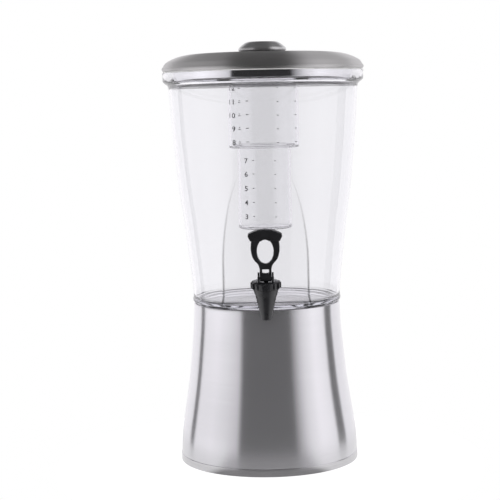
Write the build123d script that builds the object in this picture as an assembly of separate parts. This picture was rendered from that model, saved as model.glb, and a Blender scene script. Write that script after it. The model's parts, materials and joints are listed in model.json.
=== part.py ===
"""Beverage dispenser: flared steel base, clear container with a lever faucet, ice core and domed lid.

Millimetres, +Z up. The origin is on the counter, on the axis of the round body.
The faucet faces -Y.
"""
from build123d import *
import math
import os

# ---------------------------------------------------------------- base
BASE_BOTTOM_R = 123.6        # outer radius of the flared shell at its foot
BASE_TOP_R = 102.0           # outer radius of the shell at its top edge
BASE_TOP_Z = 223.0           # top edge of the shell
BASE_SHEET = 1.2             # sheet thickness
BAND_R = 124.3               # bottom band, outer radius
BAND_TOP_Z = 11.6
BAND_BOTTOM_Z = 1.2          # the feet lift the band this far
BAND_FLANGE_R = 107.0        # inner edge of the band's inward flange
BAND_FLANGE_Z = 2.4          # underside of the flange
BAND_SHEET = 1.2
FOOT_COUNT = 4
FOOT_CIRCLE_R = 114.0
FOOT_R = 6.5
FOOT_NECK_R = 2.5
DECK_Z = 204.0               # underside of the deck
DECK_SHEET = 3.0
DECK_HOLE_R = 55.0
DECK_WALL_R = 97.6           # inside of the deck's upright wall
PAD_THICKNESS = 3.0          # rubber ring on the deck

# ---------------------------------------------------------------- container
WALL = 3.6                   # container wall
FOOT_RING_R = 96.0
FOOT_RING_WALL = 5.0
SLAB_BOTTOM_Z = 223.8        # underside of the container's thick floor
SLAB_TOP_Z = 230.0
HEEL_R = 103.2
RIM_R = 138.7
RIM_TOP_Z = 543.0
RIM_BOTTOM_Z = 531.0         # the wall flares out to the rim below this height
RIM_BORE_R = 135.2
LEDGE_Z = 529.5              # inner ledge that carries the ice core
LEDGE_BORE_R = 127.0
# outer wall above the heel, (radius, height)
WALL_LINE = [(102.3, 240), (104.4, 262), (108.7, 300), (113.6, 341), (119.0, 380),
             (123.2, 420), (126.8, 460), (129.3, 500), (130.9, 522)]

# ---------------------------------------------------------------- faucet pad and faucet
PAD_DISTANCE = 82.9          # axis to pad, at the top of the floor slab
PAD_STRAIGHT_TOP_Z = 289.0   # the pad is flat below this height
PAD_SLOPE = 0.1305           # outward lean of the flat part, mm per mm of height
# the pad's curved upper part, (distance from axis, height)
PAD_CURVE = [(98.3, 331), (104.8, 358), (113.9, 393), (118.6, 414), (127.4, 465), (131.8, 490)]
FAUCET_Z = 252.0             # height of the faucet frame's origin on the pad
REACH = 31.8                 # pad to the valve's axis
SHANK_R = 10.8
SHANK_Z = -3.6               # shank's axis, in the faucet's own frame
SHANK_END = 17.0             # shank length behind the pad's face
SHANK_BORE_R = 6.6
PORT_R = 4.4                 # port from the shank's bore into the valve chamber
PORT_Z = -1.2
FLANGE_R = 15.5
WASHER = 2.4                 # rubber washer thickness
NECK_R = 15.2                # threaded neck under the bonnet
NECK_TOP = 14.8
NOZZLE_END = -34.6
CHAMBER_R = 11.5
SEAT_TOP = -6.0
SEAT_R = 7.0
BONNET_BOTTOM = 8.2
BONNET_TOP = 18.1
BONNET_R = 17.9
RIB_COUNT = 14
RIB_R = 20.4
RIB_WIDTH = 3.4
STEM_R = 2.5
RUNNING = 0.08               # radial clearance of pins and stem
PIVOT_Y = -REACH - 5.2       # lever pivot, in the faucet's own frame
PIVOT_Z = 23.0
PIVOT_PIN_R = 1.8
CRANK_PIN_R = 1.2
CRANK_PLAY = 0.3             # room above and below the crank pin in the stem's hook
EAR_GAP = 16.4               # distance between the two pivot ears
EAR_THICKNESS = 2.4
EAR_R = 5.4
EAR_Z = 25.4                 # centre of the ears' round tops
LEVER_WIDTH = 15.8           # width of the lever's neck
LEVER_THICKNESS = 7.0
LEVER_Y = -REACH - 3.0       # middle plane of the lever's ring
LEVER_SLOT = 5.4             # slot in the back of the lever's foot, around the stem's hook
SLOT_BOTTOM = 15.0           # the slot runs out below the foot
SLOT_DEPTH = 20.0            # and out of its back
FOOT_FRONT = PIVOT_Y - 4.5   # block at the lever's foot
FOOT_DEPTH = 14.0
FOOT_HEIGHT = 6.0
HOLE_Z = 59.0                # centre of the oval finger hole
HOLE_HALF_HEIGHT = 16.8
HOLE_HALF_WIDTH = 10.9
RING_HALF_WIDTH = 19.1
HEAD_HALF_WIDTH = 22.7
HEAD_BOTTOM = 73.2
HEAD_TOP = 88.7
HEAD_THICKNESS = 11.0
WINDOW_Z = 32.1              # small window in the lever's neck
WINDOW_SIZE = (8.8, 5.2)

# ---------------------------------------------------------------- ice core
SLEEVE_R = 48.5
CUP_R = 36.8
ICE_WALL = 2.2
STEP_Z = 438.0               # the sleeve ends and the cup begins
CUP_BOTTOM_Z = 326.0
ICE_FLANGE_R = 134.4
ICE_FLANGE = 2.5

# ---------------------------------------------------------------- lid
GASKET = 1.2
LID_R = 139.5
LID_SHEET = 1.3
BEAD_R = 3.3                 # radius of the rolled bead
SKIRT_R = 124.0
SKIRT_BOTTOM_Z = 534.6
DOME_TOP_Z = 569.5
KNOB_R = 33.0
KNOB_TOP_Z = 583.4
KNOB_TOP_R = 21.0
KNOB_SHEET = 2.5
SCREW_R = 2.5
# outer face of the dome, from the bead inwards, (radius, height)
DOME_LINE = [(138.6, 551.0), (135.9, 554.4), (130.6, 558.2), (119.5, 563.2), (107.0, 566.3),
             (88.0, 568.0), (60.0, 569.0), (36.0, DOME_TOP_Z)]


def edge(points):
    """A straight edge through two (radius, height) points, or a smooth curve through more."""
    places = [(r, 0, z) for r, z in points]
    return Line(*places) if len(places) == 2 else Spline(*places)


def spun(*lines):
    """Solid of revolution about Z, inside a closed outline of point lists and ready edges."""
    edges = [edge(line) if isinstance(line, list) else line for line in lines]
    return revolve(make_face(edges), Axis.Z)


def turned(*corners):
    """Solid of revolution about Z, inside a closed outline of straight edges."""
    outline = Polyline(*[(r, 0, z) for r, z in corners], close=True)
    return revolve(make_face(outline), Axis.Z)


def tube(outer_r, inner_r, low, high):
    """Plain ring."""
    return turned((inner_r, low), (outer_r, low), (outer_r, high), (inner_r, high))


def shifted(line, dr=0.0, dz=0.0):
    """The same outline moved by dr and dz."""
    return [(r + dr, z + dz) for r, z in line]


def around_y(radius, start, end, x=0.0, z=0.0):
    """Cylinder along Y, from start to end."""
    circle = Plane((x, start, z), x_dir=(1, 0, 0), z_dir=(0, 1, 0)) * Circle(radius)
    return extrude(circle, end - start)


def along_x(sketch_face, half_width):
    """A face in the YZ plane, thickened both ways along X."""
    return extrude(sketch_face, half_width, dir=(1, 0, 0), both=True)


# ---------------------------------------------------------------- base pieces
SHELL_LINE = [(BASE_BOTTOM_R, 14.0), (122.9, 34.0), (119.3, 61.0), (114.6, 90.0), (109.9, 123.0),
              (106.0, 160.0), (102.9, 197.0), (BASE_TOP_R, 219.0)]


def make_base_shell():
    """Flared sheet shell, straight at the foot and turned in at the top edge."""
    inner = shifted(SHELL_LINE, dr=-BASE_SHEET)
    foot_z = BAND_FLANGE_Z + BAND_SHEET
    outer_top = (BASE_TOP_R - 1.0, BASE_TOP_Z)
    inner_top = (BASE_TOP_R - 2.2, BASE_TOP_Z - 0.6)
    return spun(
        SHELL_LINE,
        [SHELL_LINE[-1], (BASE_TOP_R, BASE_TOP_Z - 1.2)],
        [(BASE_TOP_R, BASE_TOP_Z - 1.2), outer_top],
        [outer_top, inner_top],
        [inner_top, (BASE_TOP_R - BASE_SHEET, BASE_TOP_Z - 2.2)],
        [(BASE_TOP_R - BASE_SHEET, BASE_TOP_Z - 2.2), inner[-1]],
        inner[::-1],
        [inner[0], (BASE_BOTTOM_R - BASE_SHEET, foot_z)],
        [(BASE_BOTTOM_R - BASE_SHEET, foot_z), (BASE_BOTTOM_R, foot_z)],
        [(BASE_BOTTOM_R, foot_z), SHELL_LINE[0]],
    )


def foot_places():
    """Centres of the feet, between the four main directions."""
    for index in range(FOOT_COUNT):
        angle = math.radians(45 + 360 / FOOT_COUNT * index)
        yield FOOT_CIRCLE_R * math.cos(angle), FOOT_CIRCLE_R * math.sin(angle)


def make_base_rim_band():
    """Band around the foot of the shell, with an inward flange that carries the feet."""
    flange_top = BAND_FLANGE_Z + BAND_SHEET
    inner_lip_r = BASE_BOTTOM_R - BASE_SHEET
    band = turned(
        (BAND_R - 0.5, BAND_BOTTOM_Z),
        (BAND_R, BAND_BOTTOM_Z + 0.8),
        (BAND_R, BAND_TOP_Z - 0.4),
        (BAND_R - 0.3, BAND_TOP_Z),
        (BASE_BOTTOM_R, BAND_TOP_Z),
        (BASE_BOTTOM_R, flange_top),
        (BAND_FLANGE_R + 1.2, flange_top),
        (BAND_FLANGE_R + 1.2, flange_top + 4.0),
        (BAND_FLANGE_R, flange_top + 4.0),
        (BAND_FLANGE_R, BAND_FLANGE_Z),
        (inner_lip_r, BAND_FLANGE_Z),
        (inner_lip_r, BAND_BOTTOM_Z),
    )
    for x, y in foot_places():
        band -= Pos(x, y, BAND_FLANGE_Z) * Cylinder(FOOT_NECK_R, 4 * BAND_SHEET)
    return band


def make_foot_pads():
    """Rubber bumpers, each with a neck through the flange and a barbed head above it."""
    flange_top = BAND_FLANGE_Z + BAND_SHEET
    bumper = turned(
        (0, 0),
        (FOOT_R - 0.5, 0),
        (FOOT_R, 0.6),
        (FOOT_R, BAND_FLANGE_Z),
        (FOOT_NECK_R, BAND_FLANGE_Z),
        (FOOT_NECK_R, flange_top),
        (FOOT_NECK_R + 1.2, flange_top),
        (FOOT_NECK_R - 0.8, flange_top + 3.0),
        (0, flange_top + 3.0),
    )
    return Compound([Pos(x, y, 0) * bumper for x, y in foot_places()])


def make_base_deck():
    """Dished deck inside the top of the shell, with an upright wall and an open middle."""
    outer_r = BASE_TOP_R - BASE_SHEET
    floor_top = DECK_Z + DECK_SHEET
    deck = turned(
        (DECK_HOLE_R, DECK_Z),
        (outer_r, DECK_Z),
        (outer_r, BASE_TOP_Z - 3.0),
        (DECK_WALL_R, BASE_TOP_Z - 3.0),
        (DECK_WALL_R, floor_top),
        (DECK_HOLE_R + 3.0, floor_top),
        (DECK_HOLE_R + 3.0, floor_top + 4.0),
        (DECK_HOLE_R, floor_top + 4.0),
    )
    shell_inside = spun(
        shifted(SHELL_LINE, dr=-BASE_SHEET),
        [(BASE_TOP_R - BASE_SHEET, 219.0), (BASE_TOP_R - BASE_SHEET, BASE_TOP_Z)],
        [(BASE_TOP_R - BASE_SHEET, BASE_TOP_Z), (0, BASE_TOP_Z)],
        [(0, BASE_TOP_Z), (0, 14.0)],
        [(0, 14.0), (BASE_BOTTOM_R - BASE_SHEET, 14.0)],
    )
    return deck & shell_inside


def make_deck_pad():
    """Soft ring that the container's foot ring stands on."""
    low = DECK_Z + DECK_SHEET
    return tube(DECK_WALL_R - 0.6, FOOT_RING_R - FOOT_RING_WALL - 4.0, low, low + PAD_THICKNESS)


# ---------------------------------------------------------------- container
def pad_block(offset, low):
    """Everything in front of the leaning faucet pad, moved inwards by offset."""
    def place(distance, z):
        return (0, -(distance - offset), z)

    low_distance = PAD_DISTANCE + PAD_SLOPE * (low - SLAB_TOP_Z)
    high_distance = PAD_DISTANCE + PAD_SLOPE * (PAD_STRAIGHT_TOP_Z - SLAB_TOP_Z)
    start = place(low_distance, low)
    knee = place(high_distance, PAD_STRAIGHT_TOP_Z)
    curve_points = [knee] + [place(d, z) for d, z in PAD_CURVE]
    end = curve_points[-1]
    front = -RIM_R - 20.0
    outline = [
        Line(start, knee),
        Spline(*curve_points, tangents=[(0, -PAD_SLOPE, 1), (0, -0.17, 1)]),
        Line(end, (0, front, end[2])),
        Line((0, front, end[2]), (0, front, low)),
        Line((0, front, low), start),
    ]
    return along_x(make_face(outline), RIM_R)


def make_container():
    """Clear container: foot ring, thick floor, tapered wall with the pad, stepped rim."""
    heel = [(FOOT_RING_R, SLAB_BOTTOM_Z), (HEEL_R - 3.0, SLAB_BOTTOM_Z)]
    wall_in = shifted(WALL_LINE, dr=-WALL)
    rim_side = (RIM_R, RIM_TOP_Z - 1.0)
    outside = spun(
        [(0, SLAB_BOTTOM_Z), heel[0]],
        heel,
        [heel[1], (HEEL_R, SLAB_BOTTOM_Z + 2.4)],
        [(HEEL_R, SLAB_BOTTOM_Z + 2.4), (HEEL_R, SLAB_TOP_Z - 0.6)],
        [(HEEL_R, SLAB_TOP_Z - 0.6), (HEEL_R - 0.6, SLAB_TOP_Z)],
        [(HEEL_R - 0.6, SLAB_TOP_Z), WALL_LINE[0]],
        WALL_LINE,
        [WALL_LINE[-1], (132.6, 525.2), (136.6, 528.2), (RIM_R, RIM_BOTTOM_Z)],
        [(RIM_R, RIM_BOTTOM_Z), rim_side],
        [rim_side, (RIM_R - 1.0, RIM_TOP_Z)],
        [(RIM_R - 1.0, RIM_TOP_Z), (0, RIM_TOP_Z)],
        [(0, RIM_TOP_Z), (0, SLAB_BOTTOM_Z)],
    )
    cavity = spun(
        [(0, SLAB_TOP_Z), (wall_in[0][0] - 3.0, SLAB_TOP_Z)],
        [(wall_in[0][0] - 3.0, SLAB_TOP_Z), (wall_in[0][0] - 0.8, SLAB_TOP_Z + 2.6)],
        [(wall_in[0][0] - 0.8, SLAB_TOP_Z + 2.6), wall_in[0]],
        wall_in,
        [wall_in[-1], (LEDGE_BORE_R + 0.3, LEDGE_Z)],
        [(LEDGE_BORE_R + 0.3, LEDGE_Z), (RIM_BORE_R, LEDGE_Z)],
        [(RIM_BORE_R, LEDGE_Z), (RIM_BORE_R, RIM_TOP_Z)],
        [(RIM_BORE_R, RIM_TOP_Z), (0, RIM_TOP_Z)],
        [(0, RIM_TOP_Z), (0, SLAB_TOP_Z)],
    )
    foot_ring = tube(FOOT_RING_R, FOOT_RING_R - FOOT_RING_WALL,
                     DECK_Z + DECK_SHEET + PAD_THICKNESS, SLAB_BOTTOM_Z + 1.0)
    solid = (outside - pad_block(0.0, SLAB_TOP_Z)) + foot_ring
    solid -= cavity - pad_block(WALL, SLAB_TOP_Z - 5.0)
    return solid - faucet_frame * around_y(SHANK_R + 0.2, -20.0, 20.0, z=SHANK_Z)


# ---------------------------------------------------------------- faucet
# The faucet's own frame: origin on the pad, -Y out along the shank, +Z up along the pad,
# so the whole faucet leans with the pad. The valve's axis is REACH in front of the pad.
LEAN = math.atan(PAD_SLOPE)
FAUCET_ORIGIN = (0, -(PAD_DISTANCE + PAD_SLOPE * (FAUCET_Z - SLAB_TOP_Z)), FAUCET_Z)
faucet_frame = Location(Plane(FAUCET_ORIGIN, x_dir=(1, 0, 0), z_dir=(0, -math.sin(LEAN), math.cos(LEAN))))


def on_valve_axis(part):
    """Move a part turned about Z to the valve's axis."""
    return Pos(0, -REACH, 0) * part


def make_faucet_body():
    """Body with a threaded neck, a conical nozzle, a flanged shank and its flow passages."""
    outside = spun(
        [(0, NECK_TOP), (NECK_R, NECK_TOP)],
        [(NECK_R, NECK_TOP), (NECK_R, BONNET_BOTTOM - 0.3)],
        [(NECK_R, BONNET_BOTTOM - 0.3), (17.2, BONNET_BOTTOM - 0.3)],
        [(17.2, BONNET_BOTTOM - 0.3), (16.2, 4.0), (14.5, -0.6), (12.7, -8.0), (11.4, -14.0),
         (9.1, -24.5), (6.8, NOZZLE_END + 0.6)],
        [(6.8, NOZZLE_END + 0.6), (6.2, NOZZLE_END)],
        [(6.2, NOZZLE_END), (0, NOZZLE_END)],
        [(0, NOZZLE_END), (0, NECK_TOP)],
    )
    passages = turned(
        (0, NECK_TOP),
        (CHAMBER_R, NECK_TOP),
        (CHAMBER_R, SEAT_TOP),
        (SEAT_R, SEAT_TOP - (CHAMBER_R - SEAT_R)),
        (4.6, NOZZLE_END),
        (0, NOZZLE_END),
    )
    shank = around_y(SHANK_R, -REACH, SHANK_END, z=SHANK_Z)
    flange = around_y(FLANGE_R, -WASHER - 3.4, -WASHER, z=SHANK_Z)
    bore = around_y(SHANK_BORE_R, -REACH + CHAMBER_R + 1.5, SHANK_END + 1, z=SHANK_Z)
    port = around_y(PORT_R, -REACH, -REACH + CHAMBER_R + 2.0, z=PORT_Z)
    body = on_valve_axis(outside) + shank + flange
    return body - on_valve_axis(passages) - bore - port


def make_outer_washer():
    """Soft washer between the flange and the pad."""
    hole = around_y(SHANK_R, -WASHER - 1, 1, z=SHANK_Z)
    return around_y(FLANGE_R - 0.3, -WASHER, 0, z=SHANK_Z) - hole


def make_inner_washer():
    """Soft washer on the inside of the pad."""
    face = WALL * math.cos(LEAN)
    hole = around_y(SHANK_R, face - 1, face + WASHER + 1, z=SHANK_Z)
    return around_y(FLANGE_R, face, face + WASHER, z=SHANK_Z) - hole


def make_shank_nut():
    """Round nut with six grip lobes."""
    low = WALL * math.cos(LEAN) + WASHER
    high = low + 7.5
    nut = around_y(14.4, low, high, z=SHANK_Z)
    for index in range(6):
        angle = math.radians(60 * index)
        x, z = 13.4 * math.cos(angle), 13.4 * math.sin(angle)
        nut += around_y(3.2, low + 1.0, high, x=x, z=SHANK_Z + z)
    return nut - around_y(SHANK_R, low - 1, high + 1, z=SHANK_Z)


def make_faucet_bonnet():
    """Ribbed cap over the neck, with two ears for the lever's pivot."""
    top_wall = NECK_TOP + 0.2
    cap = turned(
        (STEM_R + RUNNING, top_wall),
        (NECK_R, top_wall),
        (NECK_R, BONNET_BOTTOM),
        (BONNET_R, BONNET_BOTTOM),
        (BONNET_R, BONNET_TOP - 1.6),
        (BONNET_R - 1.6, BONNET_TOP - 0.4),
        (12.0, BONNET_TOP),
        (STEM_R + RUNNING, BONNET_TOP),
    )
    height = BONNET_TOP - 1.2 - BONNET_BOTTOM
    rib = Pos(RIB_R - 1.9, 0, BONNET_BOTTOM + height / 2) * Box(3.8, RIB_WIDTH, height)
    rib = fillet(rib.edges().filter_by(Axis.Z).group_by(Axis.X)[-1], 1.2)
    for index in range(RIB_COUNT):
        cap += Rot(0, 0, 360 / RIB_COUNT * (index + 0.5) - 90) * rib
    bonnet = on_valve_axis(cap)
    for side in (-1, 1):
        middle = side * (EAR_GAP + EAR_THICKNESS) / 2
        ear = Pos(middle, PIVOT_Y, EAR_Z) * Rot(0, 90, 0) * Cylinder(EAR_R, EAR_THICKNESS)
        web_height = EAR_Z - BONNET_TOP + 1.0
        web = Pos(middle, PIVOT_Y, EAR_Z - web_height / 2) * Box(EAR_THICKNESS, 2 * EAR_R, web_height)
        bonnet += ear + web
    pin_hole = Pos(0, PIVOT_Y, PIVOT_Z) * Rot(0, 90, 0) * Cylinder(PIVOT_PIN_R, 2 * RIB_R)
    return bonnet - pin_hole


def make_pivot_pin():
    """Plain pin through both ears."""
    length = EAR_GAP + 2 * EAR_THICKNESS + 0.8
    return Pos(0, PIVOT_Y, PIVOT_Z) * Rot(0, 90, 0) * Cylinder(PIVOT_PIN_R, length)


def make_lever():
    """Lever: forked foot on the pivot, neck with a window, oval ring and a T-shaped head."""
    plane = Plane((0, LEVER_Y, 0), x_dir=(1, 0, 0), z_dir=(0, -1, 0))
    neck_top = HOLE_Z - HOLE_HALF_HEIGHT - 2.0
    half_neck = LEVER_WIDTH / 2
    right = [
        (half_neck, neck_top - 4.5),
        (9.8, neck_top + 1.0),
        (14.9, 47.4),
        (18.1, 55.0),
        (RING_HALF_WIDTH, 63.0),
        (18.5, 72.0),
    ]
    left = [(-x, z) for x, z in right[::-1]]
    inside_head_z = HEAD_BOTTOM + 5.4
    silhouette = [
        Line((-half_neck, PIVOT_Z), (half_neck, PIVOT_Z)),
        Line((half_neck, PIVOT_Z), right[0]),
        Spline(*right, tangents=[(0, 1), (-0.1, 1)]),
        Line(right[-1], (right[-1][0], inside_head_z)),
        Line((right[-1][0], inside_head_z), (left[0][0], inside_head_z)),
        Line((left[0][0], inside_head_z), left[0]),
        Spline(*left, tangents=[(-0.1, -1), (0, -1)]),
        Line(left[-1], (-half_neck, PIVOT_Z)),
    ]
    ring_plate = extrude(plane * make_face(silhouette), LEVER_THICKNESS / 2, both=True)

    low_x = HEAD_HALF_WIDTH - 3.1
    side_x, side_z = HEAD_HALF_WIDTH, HEAD_BOTTOM + 6.2
    shoulder_x, shoulder_z = HEAD_HALF_WIDTH - 0.4, HEAD_TOP - 6.4
    head_line = [
        Line((-low_x, HEAD_BOTTOM), (low_x, HEAD_BOTTOM)),
        Line((low_x, HEAD_BOTTOM), (side_x, side_z)),
        Line((side_x, side_z), (shoulder_x, shoulder_z)),
        ThreePointArc((shoulder_x, shoulder_z), (0, HEAD_TOP), (-shoulder_x, shoulder_z)),
        Line((-shoulder_x, shoulder_z), (-side_x, side_z)),
        Line((-side_x, side_z), (-low_x, HEAD_BOTTOM)),
    ]
    head = extrude(plane * make_face(head_line), HEAD_THICKNESS / 2, both=True)
    foot = Pos(0, FOOT_FRONT + FOOT_DEPTH / 2, PIVOT_Z + 2.0) * Box(LEVER_WIDTH, FOOT_DEPTH, FOOT_HEIGHT)
    knuckle = Pos(0, PIVOT_Y, PIVOT_Z) * Rot(0, 90, 0) * Cylinder(4.5, LEVER_WIDTH)
    heel = Pos(0, -REACH, PIVOT_Z) * Rot(0, 90, 0) * Cylinder(3.9, LEVER_WIDTH)

    hole = plane * Pos(0, HOLE_Z) * Ellipse(HOLE_HALF_WIDTH, HOLE_HALF_HEIGHT)
    window = plane * Pos(0, WINDOW_Z) * Rectangle(*WINDOW_SIZE)
    lever = ring_plate + head + foot + knuckle + heel
    lever = lever - extrude(hole, 20, both=True) - extrude(window, 20, both=True)
    for slot_front, slot_top in ((LEVER_Y, 30.0), (PIVOT_Y - 0.5, PIVOT_Z)):
        slot = Pos(0, slot_front + SLOT_DEPTH / 2, (slot_top + SLOT_BOTTOM) / 2)
        lever -= slot * Box(LEVER_SLOT, SLOT_DEPTH, slot_top - SLOT_BOTTOM)
    lever -= Pos(0, PIVOT_Y, PIVOT_Z) * Rot(0, 90, 0) * Cylinder(PIVOT_PIN_R + RUNNING, 2 * RIB_R)
    return lever - Pos(0, -REACH, PIVOT_Z) * Rot(0, 90, 0) * Cylinder(CRANK_PIN_R, 2 * RIB_R)


def make_crank_pin():
    """Small pin across the lever's fork, through the stem's eye."""
    return Pos(0, -REACH, PIVOT_Z) * Rot(0, 90, 0) * Cylinder(CRANK_PIN_R, LEVER_WIDTH - 0.4)


def make_stem():
    """Valve stem with a flat hook at its top, open to the front, that the crank pin lifts."""
    hook_bottom = BONNET_TOP + 0.6
    hook_top = PIVOT_Z + 4.2
    hook_front = -2.6
    hook_back = 3.4
    rod = turned((0, -7.0), (STEM_R, -7.0), (STEM_R, hook_bottom + 0.5), (0, hook_bottom + 0.5))
    middle = Pos(0, (hook_front + hook_back) / 2, (hook_bottom + hook_top) / 2)
    hook = middle * Box(4.0, hook_back - hook_front, hook_top - hook_bottom)
    hook = fillet(hook.edges().filter_by(Axis.X).group_by(Axis.Z)[-1], 1.4)
    slot_back = CRANK_PIN_R + CRANK_PLAY
    slot = Pos(0, slot_back - 5.0, PIVOT_Z) * Box(5.0, 10.0, 2 * (CRANK_PIN_R + CRANK_PLAY))
    return on_valve_axis(rod + hook - slot)


def make_seat_cup():
    """Soft plug with a conical nose on the end of the stem."""
    cup = turned(
        (0, -10.4),
        (6.6, -10.4),
        (10.4, -6.6),
        (10.4, -4.0),
        (5.2, 1.0),
        (4.6, 6.0),
        (STEM_R, 6.0),
        (STEM_R, -7.0),
        (0, -7.0),
    )
    return on_valve_axis(cup)


# ---------------------------------------------------------------- ice core
def make_ice_sleeve():
    """Wide upper tube with a disc flange at the top and a shoulder at the step."""
    low = LEDGE_Z
    high = LEDGE_Z + ICE_FLANGE
    inner = SLEEVE_R - ICE_WALL
    return turned(
        (inner, high),
        (inner, STEP_Z + 2.6),
        (CUP_R + 0.05, STEP_Z + 2.6),
        (CUP_R + 0.05, STEP_Z),
        (SLEEVE_R - 1.5, STEP_Z),
        (SLEEVE_R, STEP_Z + 1.5),
        (SLEEVE_R, low),
        (ICE_FLANGE_R, low),
        (ICE_FLANGE_R, high),
    )


def make_ice_cup():
    """Narrow closed lower tube, hung on the sleeve's shoulder by its own flange."""
    inner = CUP_R - ICE_WALL
    shoulder = STEP_Z + 2.6
    return turned(
        (0, CUP_BOTTOM_Z),
        (CUP_R - 2.5, CUP_BOTTOM_Z),
        (CUP_R, CUP_BOTTOM_Z + 2.5),
        (CUP_R, shoulder),
        (CUP_R + 6.0, shoulder),
        (CUP_R + 6.0, shoulder + 2.2),
        (inner, shoulder + 2.2),
        (inner, CUP_BOTTOM_Z + 4.5),
        (inner - 1.8, CUP_BOTTOM_Z + 2.6),
        (0, CUP_BOTTOM_Z + 2.6),
    )


# ---------------------------------------------------------------- lid
GASKET_TOP_Z = RIM_TOP_Z + GASKET
BEAD_Z = GASKET_TOP_Z + BEAD_R
DOME_LOW_IN = (LID_R - 2 * BEAD_R + 1.0, DOME_LINE[0][1] - LID_SHEET)   # inner edge of the dome at the bead


def dome_curve(drop, low_r):
    """The dome's outline, lowered by drop, from radius low_r at the bead to its flat middle."""
    points = [(low_r, DOME_LINE[0][1] - drop)] + shifted(DOME_LINE[1:], dr=-drop / 2, dz=-drop)
    return edge(points)


def make_lid_dome():
    """Shallow dome that ends in a rolled bead."""
    flat_r = DOME_LINE[-1][0]
    sheet = spun(
        dome_curve(0.0, DOME_LINE[0][0]),
        [(flat_r, DOME_TOP_Z), (0, DOME_TOP_Z)],
        [(0, DOME_TOP_Z), (0, DOME_TOP_Z - LID_SHEET)],
        [(0, DOME_TOP_Z - LID_SHEET), (flat_r - LID_SHEET / 2, DOME_TOP_Z - LID_SHEET)],
        dome_curve(LID_SHEET, DOME_LOW_IN[0]),
        [DOME_LOW_IN, (LID_R - BEAD_R, BEAD_Z)],
        [(LID_R - BEAD_R, BEAD_Z), DOME_LINE[0]],
    )
    circle = Plane.XZ * Pos(LID_R - BEAD_R, BEAD_Z) * Circle(BEAD_R)
    bead = revolve(circle, Axis.Z)
    hole = Cylinder(SCREW_R + 0.2, 100)
    return sheet + bead - Pos(0, 0, DOME_TOP_Z) * hole


def make_lid_skirt():
    """Ring that centres the lid in the container's mouth, trimmed to the dome's underside."""
    middle = (DOME_LINE[-1][0] - LID_SHEET / 2, DOME_TOP_Z - LID_SHEET)
    below = SKIRT_BOTTOM_Z - 5.0
    room = spun(
        dome_curve(LID_SHEET, DOME_LOW_IN[0]),
        [middle, (middle[0], below)],
        [(middle[0], below), (DOME_LOW_IN[0], below)],
        [(DOME_LOW_IN[0], below), DOME_LOW_IN],
    )
    return tube(SKIRT_R, SKIRT_R - LID_SHEET, SKIRT_BOTTOM_Z, DOME_TOP_Z) & room


def make_lid_gasket():
    """Flat ring between the bead and the container's rim."""
    return tube(RIM_R - 0.9, SKIRT_R + 6.0, RIM_TOP_Z, GASKET_TOP_Z)


def make_lid_knob():
    """Low hollow knob with an undercut and a threaded boss."""
    dome_z = DOME_TOP_Z
    outside = [(KNOB_R, dome_z + 3.0), (32.3, dome_z + 5.4), (29.4, dome_z + 8.2),
               (25.6, dome_z + 11.2), (KNOB_TOP_R, KNOB_TOP_Z - 0.4)]
    inside = shifted(outside[1:], dr=-KNOB_SHEET, dz=-1.4)
    roof = KNOB_TOP_Z - KNOB_SHEET
    return spun(
        outside,
        [outside[-1], (KNOB_TOP_R - 1.6, KNOB_TOP_Z)],
        [(KNOB_TOP_R - 1.6, KNOB_TOP_Z), (0, KNOB_TOP_Z)],
        [(0, KNOB_TOP_Z), (0, KNOB_TOP_Z - 5.0)],
        [(0, KNOB_TOP_Z - 5.0), (SCREW_R, KNOB_TOP_Z - 5.0)],
        [(SCREW_R, KNOB_TOP_Z - 5.0), (SCREW_R, dome_z)],
        [(SCREW_R, dome_z), (7.0, dome_z)],
        [(7.0, dome_z), (7.0, roof)],
        [(7.0, roof), (inside[-1][0], roof)],
        [(inside[-1][0], roof), inside[-1]],
        inside[::-1],
        [inside[0], (24.5, dome_z + 1.6)],
        [(24.5, dome_z + 1.6), (24.5, dome_z)],
        [(24.5, dome_z), (27.0, dome_z)],
        [(27.0, dome_z), (27.0, dome_z + 0.9)],
        [(27.0, dome_z + 0.9), (KNOB_R - 1.4, dome_z + 1.2)],
        [(KNOB_R - 1.4, dome_z + 1.2), outside[0]],
    )


def make_knob_washer():
    """Washer under the dome."""
    high = DOME_TOP_Z - LID_SHEET
    return tube(9.0, SCREW_R, high - 1.2, high)


def make_knob_screw():
    """Pan-head screw up into the knob's boss."""
    head_top = DOME_TOP_Z - LID_SHEET - 1.2
    return turned(
        (0, head_top - 3.4),
        (3.4, head_top - 3.4),
        (4.8, head_top - 2.2),
        (4.8, head_top),
        (SCREW_R, head_top),
        (SCREW_R, KNOB_TOP_Z - 5.4),
        (0, KNOB_TOP_Z - 5.4),
    )


UPRIGHT = {
    "base_shell": make_base_shell,
    "base_rim_band": make_base_rim_band,
    "foot_pads": make_foot_pads,
    "base_deck": make_base_deck,
    "deck_pad": make_deck_pad,
    "container": make_container,
    "ice_sleeve": make_ice_sleeve,
    "ice_cup": make_ice_cup,
    "lid_dome": make_lid_dome,
    "lid_skirt": make_lid_skirt,
    "lid_gasket": make_lid_gasket,
    "lid_knob": make_lid_knob,
    "knob_washer": make_knob_washer,
    "knob_screw": make_knob_screw,
}
LEANING = {
    "faucet_body": make_faucet_body,
    "outer_washer": make_outer_washer,
    "inner_washer": make_inner_washer,
    "shank_nut": make_shank_nut,
    "faucet_bonnet": make_faucet_bonnet,
    "pivot_pin": make_pivot_pin,
    "lever": make_lever,
    "crank_pin": make_crank_pin,
    "stem": make_stem,
    "seat_cup": make_seat_cup,
}

os.makedirs("parts", exist_ok=True)
for name, make in UPRIGHT.items():
    export_step(make(), f"parts/{name}.step")
for name, make in LEANING.items():
    export_step(faucet_frame * make(), f"parts/{name}.step")
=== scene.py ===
"""Looks of the beverage dispenser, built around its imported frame.

Outlines are in millimetres, as (radius, height) or, for the faucet, in its own leaning frame.
MM turns them into Blender's metres.
"""

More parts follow.
